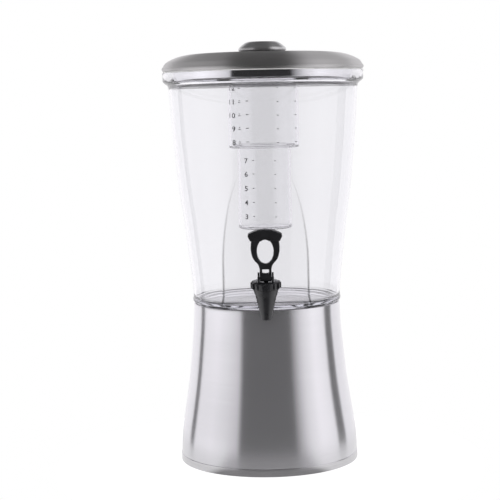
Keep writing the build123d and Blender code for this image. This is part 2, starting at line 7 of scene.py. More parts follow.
import json
import math

import bmesh
import bpy
import numpy as np
from mathutils import Matrix, Vector


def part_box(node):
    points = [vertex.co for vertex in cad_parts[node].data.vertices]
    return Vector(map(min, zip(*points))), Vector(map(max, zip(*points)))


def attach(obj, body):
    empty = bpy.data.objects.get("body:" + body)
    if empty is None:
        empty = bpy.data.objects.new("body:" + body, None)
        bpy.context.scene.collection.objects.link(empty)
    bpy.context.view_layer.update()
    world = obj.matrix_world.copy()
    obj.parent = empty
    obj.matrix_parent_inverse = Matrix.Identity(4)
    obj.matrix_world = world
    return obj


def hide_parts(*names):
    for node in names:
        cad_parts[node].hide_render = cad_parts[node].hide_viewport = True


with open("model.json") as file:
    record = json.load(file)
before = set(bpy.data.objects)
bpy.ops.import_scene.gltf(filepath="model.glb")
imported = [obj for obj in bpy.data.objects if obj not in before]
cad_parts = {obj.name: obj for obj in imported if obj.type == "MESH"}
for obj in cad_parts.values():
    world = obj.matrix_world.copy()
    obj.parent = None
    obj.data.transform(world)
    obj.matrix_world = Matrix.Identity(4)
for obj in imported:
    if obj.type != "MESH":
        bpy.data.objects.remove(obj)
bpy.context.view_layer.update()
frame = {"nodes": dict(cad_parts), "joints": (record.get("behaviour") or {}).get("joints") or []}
MM = 0.001
SEGMENTS = 288               # columns of a turned piece
joints = {joint["name"]: joint for joint in frame["joints"]}


# ---------------------------------------------------------------- outlines
def smooth_line(points, count):
    """Natural cubic curve through the points, sampled at count even places."""
    points = np.array(points, float)
    chords = np.linalg.norm(np.diff(points, axis=0), axis=1)
    at = np.concatenate([[0.0], np.cumsum(chords)])
    size = len(points)
    matrix = np.eye(size)
    right = np.zeros((size, 2))
    for i in range(1, size - 1):
        before, after = chords[i - 1], chords[i]
        matrix[i, i - 1:i + 2] = before, 2 * (before + after), after
        right[i] = 6 * ((points[i + 1] - points[i]) / after - (points[i] - points[i - 1]) / before)
    bend = np.linalg.solve(matrix, right)
    line = []
    for place in np.linspace(0.0, at[-1], count):
        i = min(int(np.searchsorted(at, place, side="right")) - 1, size - 2)
        span = chords[i]
        a = (at[i + 1] - place) / span
        b = 1.0 - a
        curve = (a ** 3 - a) * bend[i] + (b ** 3 - b) * bend[i + 1]
        line.append(tuple(a * points[i] + b * points[i + 1] + curve * span * span / 6))
    return line


def rounded(corners, steps=4):
    """Outline with rounded corners, from (x, y, radius) corners in order round the outline."""
    points = []
    for i, (x, y, radius) in enumerate(corners):
        here = Vector((x, y))
        before = Vector(corners[i - 1][:2]) - here
        after = Vector(corners[(i + 1) % len(corners)][:2]) - here
        if radius == 0:
            points.append(tuple(here))
            continue
        reach = radius / math.tan(before.angle(after) / 2)
        reach = min(reach, 0.49 * before.length, 0.49 * after.length)
        start = here + before.normalized() * reach
        end = here + after.normalized() * reach
        for step in range(steps + 1):
            t = step / steps
            points.append(tuple((1 - t) ** 2 * start + 2 * t * (1 - t) * here + t * t * end))
    return points


def arc(centre, radius, start, end, steps=16):
    """Points on an arc, between two angles in degrees."""
    angles = np.radians(np.linspace(start, end, steps))
    return [(centre[0] + radius * math.cos(a), centre[1] + radius * math.sin(a)) for a in angles]


def moved(line, dr=0.0, dz=0.0):
    """The same outline, shifted."""
    return [(r + dr, z + dz) for r, z in line]


# ---------------------------------------------------------------- meshes
def skin(rings, closed):
    """Vertices and faces of a skin over rings of equal length. A ring of one point is a pole."""
    verts, faces, starts = [], [], []
    for ring in rings:
        starts.append(len(verts))
        verts.extend(map(tuple, ring))
    pairs = [(i, i + 1) for i in range(len(rings) - 1)]
    if closed:
        pairs.append((len(rings) - 1, 0))
    for low, high in pairs:
        a, b = starts[low], starts[high]
        count = max(len(rings[low]), len(rings[high]))
        for k in range(count):
            n = (k + 1) % count
            if len(rings[low]) == 1:
                faces.append((a, b + n, b + k))
            elif len(rings[high]) == 1:
                faces.append((a + k, a + n, b))
            else:
                faces.append((a + k, a + n, b + n, b + k))
    return verts, faces


def turned(outline, segments=SEGMENTS):
    """Skin of an outline turned about Z. It is closed unless it starts and ends on the axis."""
    angles = np.linspace(0, 2 * math.pi, segments, endpoint=False)
    rings = []
    for r, z in outline:
        if r < 1e-6:
            rings.append([(0.0, 0.0, z)])
        else:
            rings.append(np.stack([r * np.cos(angles), r * np.sin(angles), np.full(segments, z)], 1))
    return skin(rings, closed=outline[0][0] > 1e-6)


def new_mesh(name, verts, faces, place=Matrix.Identity(4), sharp=35.0):
    """Mesh in metres from millimetre vertices, moved by place, smooth but for its sharp edges."""
    mesh = bpy.data.meshes.new(name)
    mesh.from_pydata([tuple(v) for v in verts], [], faces)
    mesh.transform(Matrix.Scale(MM, 4) @ place)
    finish_mesh(mesh, sharp)
    return mesh


def finish_mesh(mesh, sharp=35.0):
    """Faces turned outwards, smooth shading, sharp edges above an angle in degrees."""
    work = bmesh.new()
    work.from_mesh(mesh)
    bmesh.ops.remove_doubles(work, verts=work.verts, dist=1e-7)
    bmesh.ops.recalc_face_normals(work, faces=work.faces)
    work.to_mesh(mesh)
    work.free()
    mesh.shade_smooth()
    mesh.set_sharp_from_angle(angle=math.radians(sharp))


def piece(name, mesh, material, body, slot, *nodes):
    """A shown piece that rides on a body and stands for CAD nodes."""
    mesh.name = name
    mesh.materials.clear()
    mesh.materials.append(material)
    obj = bpy.data.objects.new(name, mesh)
    bpy.context.scene.collection.objects.link(obj)
    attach(obj, body)
    if nodes:
        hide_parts(*nodes)
    return obj


def joined(base, others, operation="UNION", sharp=35.0):
    """Mesh of base with the other meshes added or cut away."""
    objects = [bpy.data.objects.new("work", mesh) for mesh in [base, *others]]
    for obj in objects:
        bpy.context.scene.collection.objects.link(obj)
    for other in objects[1:]:
        change = objects[0].modifiers.new("change", "BOOLEAN")
        change.operation = operation
        change.solver = "EXACT"
        change.object = other
    scene_state = bpy.context.evaluated_depsgraph_get()
    mesh = bpy.data.meshes.new_from_object(objects[0].evaluated_get(scene_state))
    for obj in objects:
        bpy.data.objects.remove(obj)
    finish_mesh(mesh, sharp)
    return mesh


def slab(outline, thickness, bevel, place, holes=()):
    """Rounded plate: a flat outline with holes, thickened both ways, in the plane of place."""
    curve = bpy.data.curves.new("plate", "CURVE")
    curve.dimensions = "2D"
    curve.fill_mode = "BOTH"
    for line in (outline, *holes):
        spline = curve.splines.new("POLY")
        spline.points.add(len(line) - 1)
        for point, (x, y) in zip(spline.points, line):
            point.co = (x, y, 0.0, 1.0)
        spline.use_cyclic_u = True
    curve.extrude = thickness / 2 - bevel
    curve.bevel_depth = bevel
    curve.bevel_resolution = 3
    curve.offset = -bevel
    obj = bpy.data.objects.new("plate", curve)
    bpy.context.scene.collection.objects.link(obj)
    mesh = bpy.data.meshes.new_from_object(obj.evaluated_get(bpy.context.evaluated_depsgraph_get()))
    bpy.data.objects.remove(obj)
    mesh.transform(Matrix.Scale(MM, 4) @ place)
    finish_mesh(mesh)
    return mesh


# ---------------------------------------------------------------- shader nodes
def node(tree, kind, inputs=None, **settings):
    """A shader node with its settings, and its inputs linked or set."""
    made = tree.nodes.new(kind)
    for key, value in settings.items():
        setattr(made, key, value)
    for key, value in (inputs or {}).items():
        if isinstance(value, bpy.types.NodeSocket):
            tree.links.new(value, made.inputs[key])
        else:
            made.inputs[key].default_value = value
    return made


def calc(tree, operation, first, second=0.0, third=0.0):
    """Output of a math node."""
    return node(tree, "ShaderNodeMath", {0: first, 1: second, 2: third}, operation=operation).outputs[0]


def spread(tree, value, low, high, to_low, to_high, smooth=False):
    """A value mapped from one range to another, and held at its ends."""
    kind = "SMOOTHSTEP" if smooth else "LINEAR"
    inputs = {"Value": value, "From Min": low, "From Max": high, "To Min": to_low, "To Max": to_high}
    return node(tree, "ShaderNodeMapRange", inputs, interpolation_type=kind).outputs["Result"]


def ramp(tree, value, stops):
    """Colour ramp from (position, grey or colour) stops."""
    made = node(tree, "ShaderNodeValToRGB", {"Fac": value})
    elements = made.color_ramp.elements
    while len(elements) < len(stops):
        elements.new(0.5)
    for element, (position, shade) in zip(elements, stops):
        element.position = position
        element.color = (*shade, 1.0) if isinstance(shade, tuple) else (shade, shade, shade, 1.0)
    return made.outputs["Color"]


def new_material(name, **values):
    """A material with one Principled shader whose constant inputs are given by name."""
    material = bpy.data.materials.new(name)
    material.use_nodes = True
    tree = material.node_tree
    shader = tree.nodes["Principled BSDF"]
    for key, value in values.items():
        shader.inputs[key.replace("_", " ")].default_value = value
    return material, tree, shader


def noise(tree, vector, scale, detail=3.0, roughness=0.55):
    """Height-like output of a noise texture."""
    inputs = {"Vector": vector, "Scale": scale, "Detail": detail, "Roughness": roughness}
    return node(tree, "ShaderNodeTexNoise", inputs).outputs["Fac"]


def brush_lines(tree, fine, slow=6.0):
    """Coordinates that change fast across the lines of a turned brushed face and slowly along them."""
    place = node(tree, "ShaderNodeTexCoord").outputs["Object"]
    split = node(tree, "ShaderNodeSeparateXYZ", {0: place})
    x, y, z = split.outputs
    squares = calc(tree, "ADD", calc(tree, "MULTIPLY", x, x), calc(tree, "MULTIPLY", y, y))
    across = calc(tree, "SUBTRACT", z, calc(tree, "SQRT", squares))
    inputs = {0: calc(tree, "MULTIPLY", x, slow), 1: calc(tree, "MULTIPLY", y, slow),
              2: calc(tree, "MULTIPLY", across, fine)}
    return node(tree, "ShaderNodeCombineXYZ", inputs).outputs[0]


def steel(name, color, roughness, anisotropy, fine=900.0, relief=0.06, wobble=0.05, metallic=1.0):
    """Stainless steel brushed around the axis."""
    material, tree, shader = new_material(name, Metallic=metallic, Anisotropic=anisotropy,
                                          Anisotropic_Rotation=0.25)
    grain = noise(tree, brush_lines(tree, fine), 1.0, 5.0, 0.65)
    cloud = noise(tree, node(tree, "ShaderNodeTexCoord").outputs["Object"], 9.0, 2.0)
    dark = tuple(0.93 * c for c in color)
    light = tuple(min(1.0, 1.05 * c) for c in color)
    tone = calc(tree, "ADD", calc(tree, "MULTIPLY", grain, 0.75), calc(tree, "MULTIPLY", cloud, 0.25))
    tree.links.new(ramp(tree, tone, [(0.3, dark), (0.7, light)]), shader.inputs["Base Color"])
    tree.links.new(spread(tree, tone, 0.3, 0.7, roughness - wobble, roughness + wobble), shader.inputs["Roughness"])
    bump = node(tree, "ShaderNodeBump", {"Height": grain, "Strength": relief, "Distance": 0.0002})
    tree.links.new(bump.outputs["Normal"], shader.inputs["Normal"])
    tangent = node(tree, "ShaderNodeTangent", direction_type="RADIAL", axis="Z")
    tree.links.new(tangent.outputs[0], shader.inputs["Tangent"])
    return material


def moulded(name, color, roughness, pitch=900.0, relief=0.12, wobble=0.06, **values):
    """Moulded plastic or rubber: fine leathery relief, slightly uneven gloss and tone."""
    material, tree, shader = new_material(name, **values)
    place = node(tree, "ShaderNodeTexCoord").outputs["Object"]
    fine = noise(tree, place, pitch, 3.0, 0.6)
    cloud = noise(tree, place, 60.0, 3.0)
    dark = tuple(0.8 * c for c in color)
    light = tuple(min(1.0, 1.25 * c) for c in color)
    tree.links.new(ramp(tree, cloud, [(0.3, dark), (0.7, light)]), shader.inputs["Base Color"])
    tree.links.new(spread(tree, cloud, 0.3, 0.7, roughness - wobble, roughness + wobble), shader.inputs["Roughness"])
    bump = node(tree, "ShaderNodeBump", {"Height": fine, "Strength": relief, "Distance": 0.0002})
    tree.links.new(bump.outputs["Normal"], shader.inputs["Normal"])
    return material


def clear(name, tint, ior, relief, depth_tint, density):
    """Clear moulded plastic with faint flow marks, and painted shade: dark lines along the pad's moulded edges."""
    material, tree, shader = new_material(name, Transmission_Weight=1.0, IOR=ior)
    place = node(tree, "ShaderNodeTexCoord").outputs["Object"]
    stretch = node(tree, "ShaderNodeMapping", {"Vector": place, "Scale": (1.0, 1.0, 0.25)}).outputs[0]
    flow = noise(tree, stretch, 28.0, 2.0, 0.4)
    light = tuple(min(1.0, c * 1.01) for c in tint)
    # painted shade: the weight set along the pad's edges darkens the plastic's colour there
    painted_edge_shade = node(tree, "ShaderNodeAttribute", attribute_name="painted_edge_shade").outputs["Fac"]
    shade = ramp(tree, calc(tree, "ADD", calc(tree, "MULTIPLY", flow, 0.1), painted_edge_shade),
                 [(0.02, tint), (0.09, light), (1.0, tuple(0.05 * c for c in tint))])
    tree.links.new(shade, shader.inputs["Base Color"])
    tree.links.new(spread(tree, flow, 0.45, 0.8, 0.0, 0.02), shader.inputs["Roughness"])
    bump = node(tree, "ShaderNodeBump", {"Height": flow, "Strength": relief, "Distance": 0.001})
    tree.links.new(bump.outputs["Normal"], shader.inputs["Normal"])
    depth = node(tree, "ShaderNodeVolumeAbsorption", {"Color": (*depth_tint, 1.0), "Density": density})
    tree.links.new(depth.outputs["Volume"], tree.nodes["Material Output"].inputs["Volume"])
    return material


BASE_STEEL = steel("base_steel", (0.70, 0.69, 0.72), 0.25, 0.88, fine=2600.0, relief=0.03, wobble=0.02,
                   metallic=0.85)
BAND_STEEL = steel("band_steel", (0.66, 0.65, 0.67), 0.20, 0.6, relief=0.02, wobble=0.02)
LID_STEEL = steel("lid_steel", (0.64, 0.63, 0.63), 0.52, 0.97, fine=2600.0, relief=0.03, wobble=0.03,
                  metallic=0.95)
SKIRT_STEEL = steel("skirt_steel", (0.80, 0.80, 0.81), 0.06, 0.3, relief=0.01, wobble=0.02)
KNOB_STEEL = steel("knob_steel", (0.60, 0.60, 0.60), 0.36, 0.8, fine=2600.0, relief=0.02, wobble=0.03,
                   metallic=0.93)
PIN_STEEL = steel("pin_steel", (0.62, 0.62, 0.63), 0.25, 0.3, relief=0.03)
CLEAR_BODY = clear("clear_body", (0.925, 0.922, 0.938), 1.40, 0.02, (0.77, 0.77, 0.82), 8.0)
CLEAR_CORE = clear("clear_core", (0.945, 0.945, 0.95), 1.38, 0.03, (0.75, 0.75, 0.80), 3.0)
BLACK_FAUCET = moulded("black_faucet", (0.014, 0.014, 0.016), 0.30)
BLACK_BONNET = moulded("black_bonnet", (0.014, 0.014, 0.016), 0.20)
BLACK_LEVER = moulded("black_lever", (0.012, 0.012, 0.014), 0.30)
BLACK_NUT = moulded("black_nut", (0.03, 0.03, 0.033), 0.45)
RUBBER = moulded("rubber", (0.022, 0.022, 0.022), 0.7, relief=0.3)
SILICONE = moulded("silicone", (0.62, 0.61, 0.57), 0.5, Subsurface_Weight=0.2)
PALE_SILICONE = moulded("pale_silicone", (0.72, 0.72, 0.71), 0.5)
DECK_PLASTIC = moulded("deck_plastic", (0.74, 0.74, 0.75), 0.5)
INK = moulded("ink", (0.05, 0.05, 0.055), 0.55)


# ---------------------------------------------------------------- base
SHELL_LINE = [(123.6, 14.0), (122.9, 34.0), (119.3, 61.0), (114.6, 90.0), (109.9, 123.0),
              (106.0, 160.0), (102.9, 197.0), (102.0, 219.0)]
SHELL_SHEET = 1.2
SHELL_FOOT_Z = 3.6


def make_base():
    """Flared shell, its foot band, the deck and the soft ring on it."""
    outer = smooth_line(SHELL_LINE, 90)
    inner = moved(outer, dr=-SHELL_SHEET)
    foot = SHELL_LINE[0][0]
    top_r, top_z = SHELL_LINE[-1]
    edge = [(top_r, top_z + 2.4), (top_r - 0.4, top_z + 3.5), (top_r - 1.2, top_z + 4.0),
            (top_r - 2.1, top_z + 3.5), (top_r - 1.6, top_z + 2.6)]
    outline = [(foot, SHELL_FOOT_Z)] + outer + edge + inner[::-1] + [(foot - SHELL_SHEET, SHELL_FOOT_Z)]
    shell = new_mesh("shell", *turned(outline))
    piece("flared_shell", shell, BASE_STEEL, "base", "base_steel", "base_shell")

    band_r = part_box("base_rim_band")[1].x / MM
    band_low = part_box("base_rim_band")[0].z / MM
    band_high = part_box("base_rim_band")[1].z / MM
    flange_z = band_low + 1.2
    band = rounded([
        (band_r, band_low, 1.6), (band_r, band_high, 0.9), (foot + 0.02, band_high, 0.0),
        (foot + 0.02, SHELL_FOOT_Z, 0.0), (108.2, SHELL_FOOT_Z, 0.6), (108.2, flange_z + 5.2, 0.5),
        (107.0, flange_z + 5.2, 0.5), (107.0, flange_z, 0.8), (foot - 1.2, flange_z, 0.6),
        (foot - 1.2, band_low, 0.4),
    ])
    piece("foot_band", new_mesh("band", *turned(band)), BAND_STEEL, "base", "band_steel", "base_rim_band")

    deck_low, deck_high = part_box("base_deck")
    low, high = deck_low.z / MM, deck_high.z / MM
    outer_r = deck_high.x / MM
    deck = rounded([
        (55.0, low, 0.6), (outer_r - 0.05, low, 0.4), (outer_r - 0.05, high, 0.5), (97.6, high, 0.5),
        (97.6, low + 3.0, 1.0), (58.0, low + 3.0, 1.0), (58.0, low + 7.0, 0.8), (55.0, low + 7.0, 0.8),
    ])
    piece("deck_ring", new_mesh("deck", *turned(deck)), DECK_PLASTIC, "base", "deck_plastic", "base_deck")

    pad_low, pad_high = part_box("deck_pad")
    pad = rounded([
        (87.0, pad_low.z / MM, 0.7), (pad_high.x / MM, pad_low.z / MM, 0.7),
        (pad_high.x / MM, pad_high.z / MM, 0.9), (87.0, pad_high.z / MM, 0.9),
    ])
    piece("deck_cushion_ring", new_mesh("pad", *turned(pad)), PALE_SILICONE, "base", "gasket_rubber", "deck_pad")


# ---------------------------------------------------------------- container
WALL = 3.6
SLAB_LOW, SLAB_HIGH = 223.8, 230.0
WALL_LINE = [(102.3, 240.0), (104.4, 262.0), (108.7, 300.0), (113.6, 341.0), (119.0, 380.0),
             (123.2, 420.0), (126.8, 460.0), (129.3, 500.0), (130.9, 522.0)]
FLARE_LINE = [(130.9, 522.0), (132.6, 525.2), (136.6, 528.2), (138.7, 531.0)]
PAD_LINE = [(82.9, 230.0), (90.6, 289.0), (98.3, 331.0), (104.8, 358.0), (113.9, 393.0),
            (118.6, 414.0), (127.4, 465.0), (131.8, 490.0)]
PAD_EDGE = 0.8               # how far the pad's edge is rounded into the wall
# width in mm of the painted shade along the pad's edges
EDGE_SHADE_WIDTH = 1.0
LEDGE_Z = 529.5
LEDGE_R = 127.3
RIM_BORE_R = 135.2
wall_curve = np.array([(102.6, 230.0)] + smooth_line(WALL_LINE, 160))
pad_curve = np.array(smooth_line(PAD_LINE, 160))


def wall_r(z):
    """Outer radius of the round wall."""
    return float(np.interp(z, wall_curve[:, 1], wall_curve[:, 0]))


def pad_distance(z):
    """Distance of the faucet pad from the axis. It leaves the wall near its top."""
    if z > pad_curve[-1, 1]:
        return float(pad_curve[-1, 0] + (z - pad_curve[-1, 1]))
    return float(np.interp(z, pad_curve[:, 1], pad_curve[:, 0]))


def wall_columns(r, distance):
    """Angles from the front, close together where the pad's edge crosses the wall."""
    half = math.acos(min(1.0, distance / r))
    half = max(half, math.radians(4.0))
    band = min(math.radians(2.4), 0.5 * half)
    side = np.concatenate([
        np.linspace(0.0, half - band, 20, endpoint=False),
        np.linspace(half - band, half + band, 14, endpoint=False),
        np.linspace(half + band, math.pi, 96, endpoint=False),
    ])
    return np.concatenate([side, [math.pi], -side[:0:-1]])


def wall_ring(z, inset=0.0, fillet=0.0, at_z=None):
    """Ring of the wall at height z, with the pad cut across its front."""
    r = wall_r(z) - inset - fillet
    distance = pad_distance(z) - inset - fillet
    angles = wall_columns(r, distance)
    across = np.where(np.cos(angles) > 0.05, distance / np.maximum(np.cos(angles), 0.05), 1e3)
    low = np.minimum(r, across)
    reach = low - PAD_EDGE * np.log(np.exp((low - r) / PAD_EDGE) + np.exp((low - across) / PAD_EDGE))
    height = np.full(len(angles), z if at_z is None else at_z)
    return np.stack([reach * np.sin(angles), -reach * np.cos(angles), height], 1)


def round_ring(r, z, like_z):
    """Plain ring with the columns that the wall has at height like_z."""
    angles = wall_columns(wall_r(like_z), pad_distance(like_z))
    return np.stack([r * np.sin(angles), -r * np.cos(angles), np.full(len(angles), z)], 1)


def mark_creases(mesh):
    """Weight of the painted shade along the pad's two edges, inside and outside, strongest at the foot."""
    weights = mesh.attributes.new("painted_edge_shade", "FLOAT", "POINT")
    for vertex, weight in zip(mesh.vertices, weights.data):
        x, y, z = vertex.co / MM
        r = math.hypot(x, y)
        outer = wall_r(z)
        inset = WALL if r < outer - 0.5 * WALL and z > SLAB_HIGH + 1.0 else 0.0
        share = (pad_distance(z) - inset) / (outer - inset)
        if share >= 1.0 or z > PAD_LINE[-1][1] or r < 0.8 * outer:
            continue
        off = (abs(math.atan2(x, -y)) - math.acos(share)) * r
        fade = float(np.interp(z, [224.0, 233.0, 240.0, 330.0, 420.0], [1.0, 1.0, 0.8, 0.4, 0.0]))
        weight.value = fade * math.exp(-(off / EDGE_SHADE_WIDTH) ** 2)


def make_container():
    """Clear body: foot ring, thick floor, tapered wall with its pad, stepped rim, faucet hole."""
    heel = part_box("container")[0].z / MM
    rim_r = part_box("container")[1].x / MM
    rim_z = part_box("container")[1].z / MM
    under = rounded([
        (0.0, SLAB_LOW, 0.0), (91.0, SLAB_LOW, 0.8), (91.0, heel, 1.2), (96.0, heel, 1.2),
        (96.0, SLAB_LOW, 0.8), (100.6, SLAB_LOW, 0.8), (103.2, 226.4, 1.4), (103.2, SLAB_HIGH, 0.7),
        (0.0, SLAB_HIGH, 0.0),
    ])[1:-1]
    rings = [[(0.0, 0.0, SLAB_LOW)]]
    rings += [round_ring(r, z, SLAB_HIGH) for r, z in under]
    rings += [wall_ring(z) for z in np.linspace(SLAB_HIGH, WALL_LINE[-1][1], 130)]
    top = smooth_line(FLARE_LINE, 10)[1:] + rounded([
        (rim_r, 531.0, 0.0), (rim_r, rim_z, 1.0), (RIM_BORE_R, rim_z, 0.7), (RIM_BORE_R, LEDGE_Z, 0.4),
        (LEDGE_R, LEDGE_Z, 0.8), (LEDGE_R, WALL_LINE[-1][1], 0.0),
    ])[1:-1]
    rings += [round_ring(r, z, WALL_LINE[-1][1]) for r, z in top]
    rings += [wall_ring(z, WALL) for z in np.linspace(WALL_LINE[-1][1], SLAB_HIGH + 4.0, 130)]
    for fillet, rise in ((0.25, 2.6), (0.9, 1.3), (2.0, 0.4), (3.4, 0.0)):
        rings.append(wall_ring(SLAB_HIGH + rise, WALL, fillet))
    rings.append([(0.0, 0.0, SLAB_HIGH)])
    body = new_mesh("body", *skin(rings, closed=False), sharp=40.0)

    hole = new_mesh("hole", *turned([(0.0, -20.0), (SHANK_R + 0.2, -20.0), (SHANK_R + 0.2, 20.0), (0.0, 20.0)], 64),
                    place=FAUCET @ ALONG_SHANK)
    body = joined(body, [hole], "DIFFERENCE", sharp=40.0)
    # painted shade: dark lines along the pad's edges, drawn by the clear material
    mark_creases(body)
    piece("clear_container", body, CLEAR_BODY, "container", "clear_plastic", "container")


# ---------------------------------------------------------------- ice core
SLEEVE_R = 48.5
CUP_R = 36.8
ICE_WALL = 2.2
STEP_Z = 438.0


def make_ice_core():
    """Wide sleeve with its disc flange, and the narrow cup below the step."""
    flange_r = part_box("ice_sleeve")[1].x / MM
    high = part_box("ice_sleeve")[1].z / MM
    inner = SLEEVE_R - ICE_WALL
    sleeve = rounded([
        (inner, high, 0.9), (inner, STEP_Z + 2.6, 0.6), (CUP_R + 0.1, STEP_Z + 2.6, 0.3),
        (CUP_R + 0.1, STEP_Z, 0.4), (SLEEVE_R, STEP_Z, 2.0), (SLEEVE_R, high - 2.3, 1.5),
        (flange_r, high - 2.3, 0.7), (flange_r, high, 0.7),
    ])
    piece("ice_tube", new_mesh("sleeve", *turned(sleeve)), CLEAR_CORE, "ice_core", "clear_core", "ice_sleeve")

    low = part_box("ice_cup")[0].z / MM
    shoulder = STEP_Z + 2.7
    bore = CUP_R - ICE_WALL
    cup = [(0.0, low)] + rounded([
        (0.0, low, 0.0), (CUP_R, low, 3.0), (CUP_R, shoulder, 0.3), (CUP_R + 6.0, shoulder, 0.4),
        (CUP_R + 6.0, shoulder + 2.2, 0.7), (bore, shoulder + 2.2, 0.8), (bore, low + 2.6, 2.6),
        (0.0, low + 2.6, 0.0),
    ])[1:-1] + [(0.0, low + 2.6)]
    piece("ice_tip", new_mesh("cup", *turned(cup)), CLEAR_CORE, "ice_core", "clear_core", "ice_cup")


MARK_HEIGHT = 7.0
TICKS = {                    # ticks beside the numbers: azimuth, width, rise above the row
    SLEEVE_R: [(-42.0, 4.6, 0.0), (-42.0, 2.4, 2.4), (-26.5, 4.2, 1.5), (24.0, 2.6, 0.0), (66.0, 6.0, 0.0)],
    CUP_R: [(-24.0, 2.6, 1.0), (24.0, 2.2, 0.0)],
}
MARK_ROWS = [                # number, height of its row, tube radius
    (12, 520.0, SLEEVE_R), (11, 501.0, SLEEVE_R), (10, 482.6, SLEEVE_R), (9, 464.2, SLEEVE_R),
    (8, 445.6, SLEEVE_R), (7, 420.5, CUP_R), (6, 402.0, CUP_R), (5, 382.4, CUP_R),
    (4, 363.0, CUP_R), (3, 343.5, CUP_R),
]


def wrapped(mesh, radius, azimuth, height):
    """Bend a flat mesh in the XZ plane, in metres, round the tube at an azimuth from the front."""
    for vertex in mesh.vertices:
        x, depth, z = vertex.co
        angle = math.radians(azimuth) + x / (radius * MM)
        r = (radius + 0.06) * MM - depth
        vertex.co = (r * math.sin(angle), -r * math.cos(angle), z + height * MM)


def make_marks():
    """Fill-level numbers and ticks printed on the ice tube."""
    work = bmesh.new()

    def add(mesh):
        work.from_mesh(mesh)
        bpy.data.meshes.remove(mesh)

    def glyph(text, radius, azimuth, height):
        curve = bpy.data.curves.new("glyph", "FONT")
        curve.body = text
        curve.size = 1.35 * MARK_HEIGHT * MM
        curve.offset = 0.02 * MARK_HEIGHT * MM
        curve.align_x = "CENTER"
        curve.align_y = "CENTER"
        obj = bpy.data.objects.new("glyph", curve)
        bpy.context.scene.collection.objects.link(obj)
        mesh = bpy.data.meshes.new_from_object(obj.evaluated_get(bpy.context.evaluated_depsgraph_get()))
        bpy.data.objects.remove(obj)
        wide = min(2.0, 1 / math.cos(math.radians(azimuth)))
        mesh.transform(Matrix.Diagonal((wide, 1.0, 1.0, 1.0)) @ Matrix.Rotation(math.radians(90), 4, "X"))
        wrapped(mesh, radius, azimuth, height)
        add(mesh)

    def tick(width, radius, azimuth, height, thickness=0.9):
        columns = 6
        xs = np.linspace(-width / 2, width / 2, columns)
        verts = [(x, 0.0, z) for z in (-thickness / 2, thickness / 2) for x in xs]
        faces = [(i, i + 1, columns + i + 1, columns + i) for i in range(columns - 1)]
        mesh = bpy.data.meshes.new("tick")
        mesh.from_pydata([(x * MM, y, z * MM) for x, y, z in verts], [], faces)
        wrapped(mesh, radius, azimuth, height)
        add(mesh)

    for number, height, radius in MARK_ROWS:
        columns = (-72.0, -57.0) if radius == SLEEVE_R else (-43.0,)
        for digit, azimuth in zip(str(number).rjust(len(columns)), columns):
            glyph(digit, radius, azimuth, height)
        for azimuth, width, rise in TICKS[radius]:
            tick(width, radius, azimuth, height + rise)
    mesh = bpy.data.meshes.new("marks")
    work.to_mesh(mesh)
    work.free()
    piece("level_marks", mesh, INK, "ice_core", "clear_core")


# ---------------------------------------------------------------- lid
DOME_LINE = [(138.6, 551.0), (135.9, 554.4), (130.6, 558.2), (119.5, 563.2), (107.0, 566.3),
             (88.0, 568.0), (60.0, 569.0), (36.0, 569.5)]
BEAD_R = 3.3
LID_SHEET = 1.3


def make_lid():
    """Domed cover with its rolled bead, skirt ring, gasket and knob."""
    lid_low, lid_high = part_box("lid_dome")
    bead_at = (lid_high.x / MM - BEAD_R, lid_low.z / MM + BEAD_R)
    dome = smooth_line(DOME_LINE, 70)
    top_z = DOME_LINE[-1][1]
    neck = (bead_at[0] + 1.2, bead_at[1] + BEAD_R + 0.35)
    cover = [(0.0, top_z)] + dome[::-1][:-4] + [neck]
    cover += arc(bead_at, BEAD_R, 60.0, -200.0, 30)
    under = [(r - 0.65, z - LID_SHEET) for r, z in dome[5:]]
    cover += under + [(0.0, top_z - LID_SHEET)]
    piece("domed_cover", new_mesh("dome", *turned(cover)), LID_STEEL, "lid", "lid_steel", "lid_dome")

    skirt_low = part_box("lid_skirt")[0].z / MM
    skirt_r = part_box("lid_skirt")[1].x / MM
    skirt_high = 559.2
    skirt = rounded([
        (skirt_r, skirt_low, 0.5), (skirt_r, skirt_high, 0.2), (skirt_r - LID_SHEET, skirt_high, 0.2),
        (skirt_r - LID_SHEET, skirt_low, 0.5),
    ])
    piece("centring_skirt", new_mesh("skirt", *turned(skirt)), SKIRT_STEEL, "lid", "skirt_steel", "lid_skirt")

    gasket_low, gasket_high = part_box("lid_gasket")
    outer = gasket_high.x / MM
    gasket = rounded([
        (130.0, gasket_low.z / MM, 0.4), (outer, gasket_low.z / MM, 0.5),
        (outer, gasket_high.z / MM, 0.5), (130.0, gasket_high.z / MM, 0.4),
    ])
    piece("rim_gasket", new_mesh("gasket", *turned(gasket)), PALE_SILICONE, "lid", "gasket_rubber", "lid_gasket")

    knob_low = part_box("lid_knob")[0].z / MM
    knob_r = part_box("lid_knob")[1].x / MM
    knob_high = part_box("lid_knob")[1].z / MM
    side = smooth_line([(knob_r, knob_low + 3.0), (32.3, knob_low + 5.4), (29.4, knob_low + 8.2),
                        (25.6, knob_low + 11.2), (21.0, knob_high - 0.4)], 24)
    inside = [(r - 2.5, z - 1.4) for r, z in side[4:-1]]
    knob = [(0.0, knob_high), (12.0, knob_high), (19.0, knob_high - 0.05)] + side[::-1]
    knob += [(knob_r - 0.3, knob_low + 1.9), (knob_r - 1.4, knob_low + 1.2), (27.4, knob_low + 0.9),
             (27.0, knob_low + 0.2), (26.6, knob_low), (24.9, knob_low), (24.5, knob_low + 0.3)]
    knob += [(24.5, knob_low + 1.6)] + inside + [(7.0, knob_high - 2.5), (7.0, knob_low), (2.5, knob_low),
                                                 (2.5, knob_high - 5.0), (0.0, knob_high - 5.0)]
    piece("lift_knob", new_mesh("knob", *turned(knob, 160)), KNOB_STEEL, "lid", "knob_steel", "lid_knob")


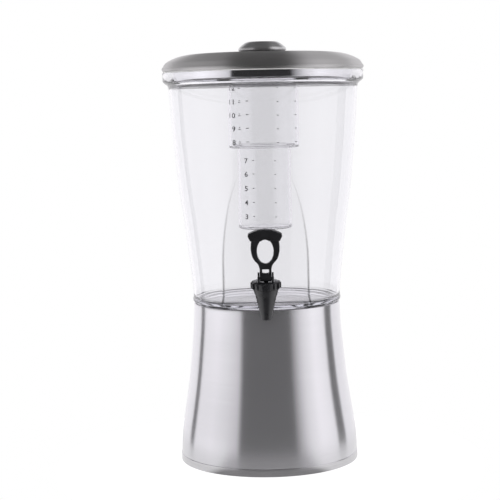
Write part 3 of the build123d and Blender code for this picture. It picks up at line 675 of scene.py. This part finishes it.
# ---------------------------------------------------------------- faucet
# The faucet's own frame: origin on the pad, -Y out along the shank, +Z up along the pad.
REACH = 31.8
SHANK_R = 10.8
SHANK_Z = -3.6
PIVOT = Vector((0.0, -37.0, 23.0))
stem_axis = Vector(joints["stem_lift"]["axis"])
lean = math.atan2(-stem_axis.y, stem_axis.z)
pivot_place = Vector(joints["lever_pull"]["pos_m"]) / MM
FAUCET = Matrix.Translation(pivot_place) @ Matrix.Rotation(lean, 4, "X") @ Matrix.Translation(-PIVOT)
VALVE = FAUCET @ Matrix.Translation((0.0, -REACH, 0.0))
# a turned piece's Z axis laid along the shank, towards the inside
ALONG_SHANK = Matrix.Translation((0.0, 0.0, SHANK_Z)) @ Matrix.Rotation(math.radians(-90), 4, "X")
FACE_ON = Matrix.Rotation(math.radians(90), 4, "X")      # a plate's plane turned to face the front
SIDE_ON = Matrix(((0, 0, 1, 0), (1, 0, 0, 0), (0, 1, 0, 0), (0, 0, 0, 1)))      # and to face the side


def make_faucet_body():
    """Conical body with its threaded neck, shank and flange."""
    cone = smooth_line([(17.2, 7.9), (16.2, 4.0), (14.5, -0.6), (12.7, -8.0), (11.4, -14.0), (9.1, -24.5),
                        (6.9, -34.0)], 40)
    outside = [(0.0, 14.8), (14.4, 14.8), (15.1, 14.2), (15.1, 7.95), (16.6, 7.95)] + cone
    outside += [(6.6, -34.5), (6.1, -34.6), (5.0, -34.6), (4.6, -34.2), (4.9, -28.0), (7.0, -10.5)]
    outside += [(11.5, -6.0), (11.5, 12.0), (0.0, 12.0)]
    body = new_mesh("cone", *turned(outside, 128), place=VALVE)
    shank = [(0.0, -24.0), (SHANK_R, -24.0), (SHANK_R, -6.2), (15.1, -5.8), (15.5, -5.4), (15.5, -2.6),
             (15.2, -2.4), (SHANK_R, -2.4), (SHANK_R, 16.6), (10.4, 17.0), (7.0, 17.0), (6.6, 16.6),
             (6.6, -17.0), (0.0, -17.0)]
    shank = new_mesh("shank", *turned(shank, 96), place=FAUCET @ ALONG_SHANK)
    cavity = new_mesh("cavity", *turned([(0.0, -9.0), (8.6, -9.0), (11.4, -6.0), (11.4, 11.9), (0.0, 11.9)], 128),
                      place=VALVE)
    body = joined(body, [shank])
    body = joined(body, [cavity], "DIFFERENCE")
    piece("tap_body", body, BLACK_FAUCET, "container", "faucet_plastic", "faucet_body")


RIB_COUNT = 14
RIB_HEIGHT = 2.5
EAR_Z = 25.4
EAR_R = 5.4


def make_bonnet():
    """Ribbed cap with the two ears that carry the lever."""
    columns = RIB_COUNT * 26
    angles = np.linspace(0, 2 * math.pi, columns, endpoint=False)
    pitch = 2 * math.pi * 19.0 / RIB_COUNT
    turns = (angles + math.pi / 2) / (2 * math.pi) * RIB_COUNT - 0.5
    off_centre = np.abs(turns - np.round(turns)) * pitch
    ridge = np.clip((1.9 - off_centre) / 0.7, 0.0, 1.0)
    ridge = ridge * ridge * (3 - 2 * ridge)
    outline = [
        (17.2, 8.2, 0.0), (17.8, 8.5, 0.3), (17.9, 8.9, 0.75), (17.9, 9.5, 1.0), (17.9, 12.0, 1.0),
        (17.9, 15.4, 1.0), (17.8, 16.2, 0.85), (17.3, 16.8, 0.45), (16.6, 17.4, 0.05), (15.6, 17.8, 0.0),
        (12.0, 18.1, 0.0), (3.2, 18.1, 0.0), (2.6, 17.6, 0.0), (2.6, 15.0, 0.0), (15.2, 15.0, 0.0),
        (15.2, 8.2, 0.0),
    ]
    rings = []
    for r, z, share in outline:
        reach = r + RIB_HEIGHT * share * ridge
        rings.append(np.stack([reach * np.cos(angles), reach * np.sin(angles), np.full(columns, z)], 1))
    cap = new_mesh("cap", *skin(rings, closed=True), place=VALVE, sharp=50.0)
    ears = []
    for side in (-1, 1):
        outline = arc((PIVOT.y, EAR_Z), EAR_R, 180.0, 0.0, 20) + [(PIVOT.y + EAR_R, 16.4), (PIVOT.y - EAR_R, 16.4)]
        stand = Matrix.Translation((side * 9.4, 0.0, 0.0)) @ SIDE_ON
        ears.append(slab(outline, 2.4, 0.5, FAUCET @ stand))
    piece("ribbed_bonnet", joined(cap, ears, sharp=50.0), BLACK_BONNET, "container", "faucet_plastic",
          "faucet_bonnet")


HALF_NECK = 7.9
HOLE_Z, HOLE_HALF_WIDTH, HOLE_HALF_HEIGHT = 59.0, 10.9, 16.8
HEAD_BOTTOM, HEAD_TOP = 73.2, 88.7
LEVER_RING = [(HALF_NECK, 35.7), (9.8, 41.2), (14.9, 47.4), (18.1, 55.0), (19.1, 63.0), (18.5, 72.0)]
SLOT_HALF = 2.7
SLOT_BOTTOM = 15.0


def mirrored(right):
    """Closed outline from its right half, listed upwards."""
    return right + [(-x, z) for x, z in right[::-1] if x > 1e-6]


def make_lever():
    """Lever: foot with its fork, neck with a window, oval ring and T-shaped head."""
    plane = FAUCET @ Matrix.Translation((0.0, -34.8, 0.0)) @ FACE_ON
    outline = mirrored([(HALF_NECK, 21.0)] + smooth_line(LEVER_RING, 30) + [(18.3, 78.0)])
    turn = np.linspace(0, 2 * math.pi, 72, endpoint=False)
    hole = [(HOLE_HALF_WIDTH * math.cos(a), HOLE_Z + HOLE_HALF_HEIGHT * math.sin(a)) for a in turn]
    window = rounded([(-4.4, 29.5, 0.5), (4.4, 29.5, 0.5), (4.4, 34.7, 0.5), (-4.4, 34.7, 0.5)])
    lever = slab(outline, 7.0, 1.3, plane, [hole, window])

    shoulder_x, shoulder_z = 22.3, HEAD_TOP - 6.4
    crown_r = (shoulder_x ** 2 + 6.4 ** 2) / (2 * 6.4)
    crown_end = math.degrees(math.atan2(shoulder_z - HEAD_TOP + crown_r, shoulder_x))
    crown = arc((0.0, HEAD_TOP - crown_r), crown_r, crown_end, 90.0, 14)
    head = slab(mirrored([(19.6, HEAD_BOTTOM), (22.7, HEAD_BOTTOM + 6.2)] + crown), 11.0, 1.5, plane)
    foot = rounded([(-HALF_NECK, 22.0, 1.0), (HALF_NECK, 22.0, 1.0), (HALF_NECK, 28.0, 1.0), (-HALF_NECK, 28.0, 1.0)])
    foot = slab(foot, 14.0, 0.8, FAUCET @ Matrix.Translation((0.0, -34.5, 0.0)) @ FACE_ON)
    along_pin = FAUCET @ Matrix.Translation(PIVOT) @ Matrix.Rotation(math.radians(90), 4, "Y")
    side = HALF_NECK
    knuckle = [(0.0, -side), (4.0, -side), (4.5, 0.5 - side), (4.5, side - 0.5), (4.0, side), (0.0, side)]
    knuckle = new_mesh("knuckle", *turned(knuckle, 64), place=along_pin)
    lever = joined(lever, [head, foot, knuckle])

    cuts = [new_mesh("bore", *turned([(0.0, -12.0), (1.88, -12.0), (1.88, 12.0), (0.0, 12.0)], 32), place=along_pin)]
    for front, top in ((-34.8, 30.0), (PIVOT.y - 0.5, PIVOT.z)):
        middle = FAUCET @ Matrix.Translation((0.0, front + 10.0, (top + SLOT_BOTTOM) / 2))
        half = (top - SLOT_BOTTOM) / 2
        outline = [(-SLOT_HALF, -half), (SLOT_HALF, -half), (SLOT_HALF, half), (-SLOT_HALF, half)]
        cuts.append(slab(outline, 20.0, 0.02, middle @ FACE_ON))
    through = [(0.985 * x, HOLE_Z + 0.985 * (z - HOLE_Z)) for x, z in hole]
    cuts.append(slab(through, 24.0, 0.02, plane))
    piece("tap_lever", joined(lever, cuts, "DIFFERENCE"), BLACK_LEVER, "lever", "lever_plastic", "lever")


# ---------------------------------------------------------------- CAD nodes that stay
KEPT = {
    "foot_pads": (RUBBER, "foot_rubber", 0.4),
    "outer_washer": (RUBBER, "washer_rubber", 0.4),
    "inner_washer": (RUBBER, "washer_rubber", 0.4),
    "shank_nut": (BLACK_NUT, "nut_plastic", 0.5),
    "pivot_pin": (PIN_STEEL, "pin_steel", 0.25),
    "crank_pin": (PIN_STEEL, "pin_steel", 0.2),
    "stem": (BLACK_NUT, "stem_plastic", 0.2),
    "seat_cup": (SILICONE, "seat_silicone", 0.3),
    "knob_washer": (PIN_STEEL, "pin_steel", 0.2),
    "knob_screw": (PIN_STEEL, "pin_steel", 0.3),
}


def dress_kept_nodes():
    """Materials and softened edges for the small CAD parts that stay as they are."""
    for name, (material, slot, bevel) in KEPT.items():
        obj = frame["nodes"][name]
        obj.data.materials.clear()
        obj.data.materials.append(material)
        weld = obj.modifiers.new("weld", "WELD")
        weld.merge_threshold = 1e-6
        edge = obj.modifiers.new("edge", "BEVEL")
        edge.width = bevel * MM
        edge.segments = 3
        edge.limit_method = "ANGLE"
        edge.angle_limit = math.radians(40)
        edge.harden_normals = False
        for polygon in obj.data.polygons:
            polygon.use_smooth = True


# ---------------------------------------------------------------- studio
LIT = 1.42                   # strength of a softbox
DARK = 0.04
CEILING = 0.10


def seen_straight(tree):
    """Zero for light seen in a reflection, one for light seen directly, through plastic or by matt surfaces."""
    path = node(tree, "ShaderNodeLightPath")
    direct = calc(tree, "COMPARE", path.outputs["Ray Depth"], path.outputs["Transmission Depth"], 0.5)
    matt = calc(tree, "GREATER_THAN", path.outputs["Diffuse Depth"], 0.5)
    return calc(tree, "MAXIMUM", direct, matt)


def backdrop_seen_straight(tree):
    """The same for the world, where Cycles counts one bounce more."""
    path = node(tree, "ShaderNodeLightPath")
    counted = calc(tree, "SUBTRACT", path.outputs["Ray Depth"], 1.0)
    clear_only = calc(tree, "COMPARE", counted, path.outputs["Transmission Depth"], 0.5)
    through = calc(tree, "MULTIPLY", clear_only, path.outputs["Is Transmission Ray"])
    matt = calc(tree, "GREATER_THAN", path.outputs["Diffuse Depth"], 0.5)
    return calc(tree, "MAXIMUM", calc(tree, "MAXIMUM", path.outputs["Is Camera Ray"], through), matt)


def make_world():
    """Studio seen in the steel: side softboxes, dark gaps and front, bright backdrop, dim ceiling."""
    world = bpy.data.worlds.new("studio")
    bpy.context.scene.world = world
    world.use_nodes = True
    tree = world.node_tree
    tree.nodes.clear()
    direction = node(tree, "ShaderNodeTexCoord").outputs["Generated"]
    split = node(tree, "ShaderNodeSeparateXYZ", {0: direction})
    x, y, z = split.outputs
    azimuth = calc(tree, "ARCTAN2", x, calc(tree, "MULTIPLY", y, -1.0))
    around = calc(tree, "MULTIPLY_ADD", azimuth, 0.5 / math.pi, 0.5)
    elevation = calc(tree, "MULTIPLY", calc(tree, "ARCSINE", z), 180 / math.pi)

    def at(degrees):
        return degrees / 360 + 0.5

    dark = DARK / LIT
    share = ramp(tree, around, [
        (at(-180), 0.72), (at(-130), 0.80), (at(-100), 0.90), (at(-82), 1.0), (at(-62), 0.85),
        (at(-42), 0.62), (at(-38), dark), (at(35), dark), (at(41), 0.28), (at(54), 0.66), (at(75), 0.92),
        (at(104), 0.80), (at(130), 0.76), (at(180), 0.72),
    ])
    sides = calc(tree, "MULTIPLY", share, LIT)
    high = spread(tree, elevation, 18.0, 42.0, 0.0, 1.0, smooth=True)
    leftwards = calc(tree, "MULTIPLY_ADD", x, -25.0, 25.0)
    high_side = spread(tree, calc(tree, "ADD", elevation, leftwards), 45.0, 78.0, 0.0, 1.0, smooth=True)
    frontness = spread(tree, calc(tree, "ABSOLUTE", azimuth), math.radians(60), math.radians(125), 0.0, 1.0)
    behind = calc(tree, "MULTIPLY", high, frontness)
    ceiling = calc(tree, "MAXIMUM", behind, high_side)
    lit = calc(tree, "SUBTRACT", 1.0, ceiling)
    pattern = calc(tree, "MULTIPLY_ADD", lit, calc(tree, "SUBTRACT", sides, CEILING), CEILING)

    studio = node(tree, "ShaderNodeBackground", {"Color": (0.99, 0.98, 1.0, 1.0), "Strength": pattern})
    backdrop = node(tree, "ShaderNodeBackground", {"Color": (1.0, 1.0, 1.0, 1.0), "Strength": 1.0})
    either = node(tree, "ShaderNodeMixShader", {0: backdrop_seen_straight(tree), 1: studio.outputs[0], 2: backdrop.outputs[0]})
    node(tree, "ShaderNodeOutputWorld", {"Surface": either.outputs[0]})


FLAG_DISTANCE = 0.8
FLAG_HEIGHT = 0.47
FLAGS = [(-113.0, 10.0), (104.0, 17.0)]        # azimuth from the front and width, in degrees


def make_flags():
    """Two black cards beside the object. They show only in reflections."""
    material, tree, shader = new_material("flag", Roughness=0.9)
    place = node(tree, "ShaderNodeTexCoord").outputs["Object"]
    tree.links.new(ramp(tree, noise(tree, place, 30.0), [(0.0, 0.03), (1.0, 0.05)]), shader.inputs["Base Color"])
    for azimuth, width in FLAGS:
        turn = np.radians(np.linspace(azimuth - width / 2, azimuth + width / 2, 9))
        verts = [(FLAG_DISTANCE * math.sin(a), -FLAG_DISTANCE * math.cos(a), z) for z in (-0.15, FLAG_HEIGHT) for a in turn]
        mesh = bpy.data.meshes.new("flag")
        mesh.from_pydata(verts, [], [(i, i + 1, i + 10, i + 9) for i in range(8)])
        mesh.materials.append(material)
        flag = bpy.data.objects.new("flag", mesh)
        bpy.context.scene.collection.objects.link(flag)
        flag.visible_camera = flag.visible_transmission = flag.visible_shadow = flag.visible_diffuse = False


TABLE_RADIUS = 0.30


def make_table():
    """Plain pale table top, white to the eye and dimmer in the steel, as inside a light tent; its glow is painted
    light, brighter towards the sides in reflections.
    """
    material, tree, shader = new_material("table", Roughness=0.8)
    place = node(tree, "ShaderNodeTexCoord").outputs["Object"]
    tone = ramp(tree, noise(tree, place, 40.0), [(0.0, 0.30), (1.0, 0.34)])
    tree.links.new(tone, shader.inputs["Base Color"])
    shader.inputs["Emission Color"].default_value = (1.0, 1.0, 1.0, 1.0)
    x, y, _ = node(tree, "ShaderNodeSeparateXYZ", {0: place}).outputs
    aside = calc(tree, "ABSOLUTE", calc(tree, "ARCTAN2", x, calc(tree, "MULTIPLY", y, -1.0)))
    # painted light: in reflections the table glows dimly in front and brighter towards the sides
    mirrored_glow = spread(tree, aside, math.radians(34), math.radians(48), 0.02, 0.60, smooth=True)
    straight = seen_straight(tree)
    glow = calc(tree, "MAXIMUM", mirrored_glow, calc(tree, "MULTIPLY", straight, 0.88))
    tree.links.new(glow, shader.inputs["Emission Strength"])
    edge = TABLE_RADIUS / MM
    outline = rounded([(0.0, -20.0, 0.0), (edge, -20.0, 6.0), (edge, 0.0, 6.0), (0.0, 0.0, 0.0)], 6)
    mesh = new_mesh("table", *turned(outline, 128))
    mesh.materials.append(material)
    table = bpy.data.objects.new("table", mesh)
    bpy.context.scene.collection.objects.link(table)


def make_camera():
    """Camera at the height of the container's rim, a little to the right, looking slightly down."""
    data = bpy.data.cameras.new("camera")
    data.sensor_width = 36.0
    data.lens = 108.5
    camera = bpy.data.objects.new("camera", data)
    bpy.context.scene.collection.objects.link(camera)
    distance, height = 2.098, 0.5106
    heading, pitch, roll = math.radians(1.05), math.radians(-5.875), math.radians(-1.13)
    side = Matrix.Rotation(heading, 4, "Z")
    place = side @ Matrix.Translation((-0.02228, -distance, height))
    camera.matrix_world = place @ Matrix.Rotation(math.pi / 2 + pitch, 4, "X") @ Matrix.Rotation(roll, 4, "Z")
    bpy.context.scene.camera = camera


def set_view():
    """Plain colours, and enough bounces for nested clear walls."""
    scene = bpy.context.scene
    scene.view_settings.view_transform = "Standard"
    scene.cycles.max_bounces = 24
    scene.cycles.transmission_bounces = 24
    scene.cycles.glossy_bounces = 8
    scene.cycles.transparent_max_bounces = 16


make_camera()
set_view()
make_world()
make_table()
make_flags()
make_base()
make_container()
make_ice_core()
make_marks()
make_lid()
make_faucet_body()
make_bonnet()
make_lever()
dress_kept_nodes()
